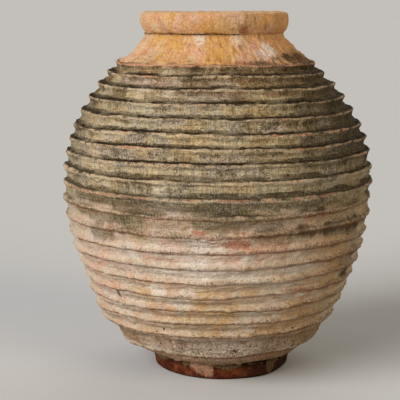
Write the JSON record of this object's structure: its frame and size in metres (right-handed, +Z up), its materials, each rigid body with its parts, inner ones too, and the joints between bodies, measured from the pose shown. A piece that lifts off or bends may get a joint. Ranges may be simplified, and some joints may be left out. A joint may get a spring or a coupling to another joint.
{
  "type": "storage jar",
  "caption": "Large hand-built ribbed terracotta storage jar with a rolled rim, short flared neck, swelling ridged body and small round foot; no handles.",
  "frame": {"origin": "centre of the bounding box's bottom face: on the ground, under the middle of the belly", "axes": "+Z up, along the jar's axis and its longest extent; +X to the right of the side first seen; the jar leans slightly towards -X going up"},
  "size_m": [0.7281, 0.7282, 0.84],
  "materials": {
    "rim_clay": "unglazed salmon terracotta with ochre wash",
    "neck_clay": "unglazed, finger fluted, ochre and cream wash",
    "shoulder_clay": "unglazed, weathered khaki with dark lichen staining",
    "belly_clay": "unglazed, weathered olive grey over terracotta",
    "flank_clay": "unglazed, pinkish cream lime bloom over terracotta",
    "bowl_clay": "unglazed, grey beige and pitted",
    "foot_clay": "unglazed, worn red brown terracotta"
  },
  "bodies": {
    "root": {"base_disc": "foot_clay", "bowl_band": "bowl_clay", "foot_collar": "foot_clay", "neck_collar": "neck_clay", "rib_course_01": "flank_clay", "rib_course_02": "flank_clay", "rib_course_03": "flank_clay", "rib_course_04": "flank_clay", "rib_course_05": "flank_clay", "rib_course_06": "flank_clay", "rib_course_07": "flank_clay", "rib_course_08": "belly_clay", "rib_course_09": "belly_clay", "rib_course_10": "belly_clay", "rib_course_11": "belly_clay", "rib_course_12": "belly_clay", "rib_course_13": "shoulder_clay", "rib_course_14": "shoulder_clay", "rib_course_15": "shoulder_clay", "rib_course_16": "shoulder_clay", "rib_course_17": "shoulder_clay", "rib_course_18": "shoulder_clay", "rim_roll": "rim_clay"}
  },
  "joints": []
}
